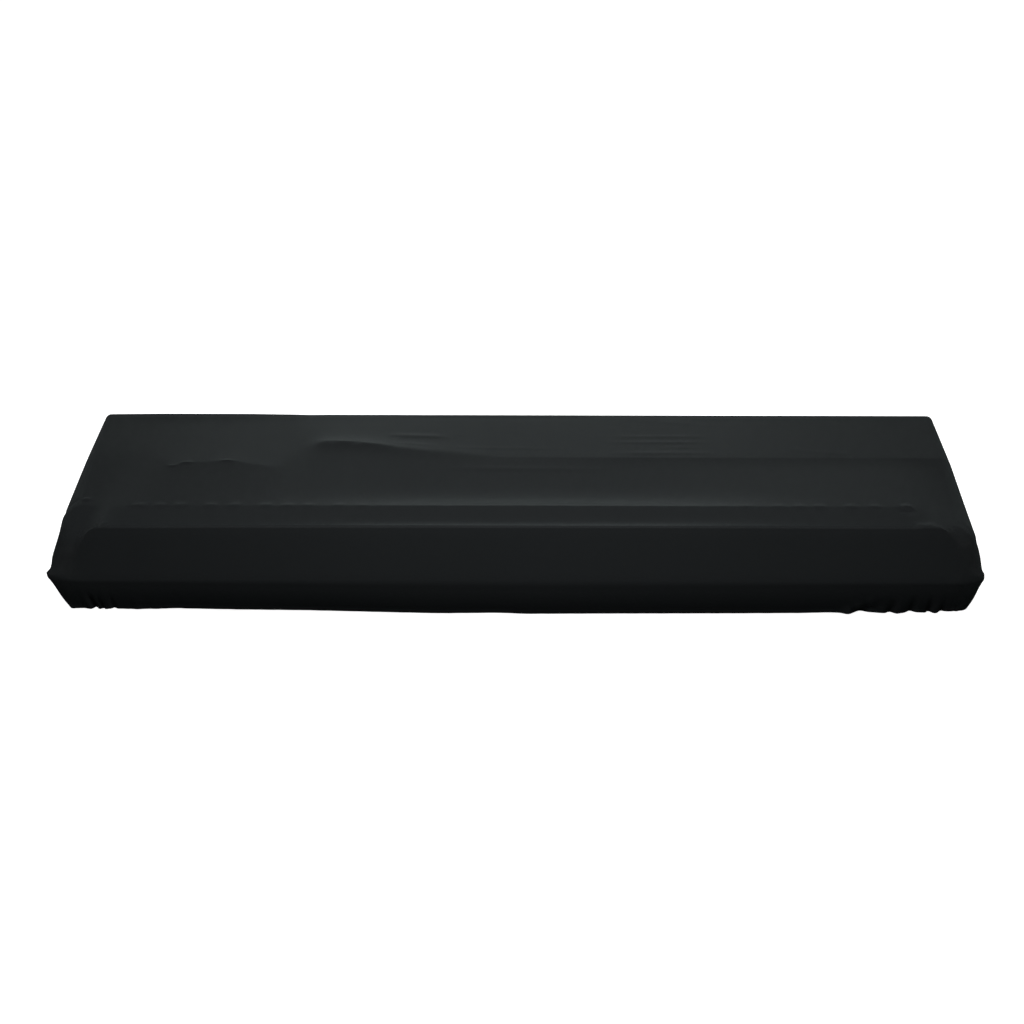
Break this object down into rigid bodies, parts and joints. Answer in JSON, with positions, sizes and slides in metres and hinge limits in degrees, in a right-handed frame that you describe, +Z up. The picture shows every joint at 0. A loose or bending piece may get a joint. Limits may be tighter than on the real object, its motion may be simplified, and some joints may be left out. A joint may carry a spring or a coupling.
{
  "type": "keyboard dust cover",
  "caption": "Fitted stretch cloth dust cover for a long portable music keyboard: a taut shell with a turned-under lower edge and an elastic hem round an open mouth.",
  "frame": {"origin": "below the middle of the cover, level with the lowest point of the hem", "axes": "+X along the length of the keyboard, to the right seen from the player; +Y from the front to the back; +Z up"},
  "size_m": [1.1934, 0.4152, 0.164],
  "materials": {
    "stretch_cloth": "fine black stretch knit with a soft sheen"
  },
  "bodies": {
    "root": {"cover": "stretch_cloth"}
  },
  "joints": []
}
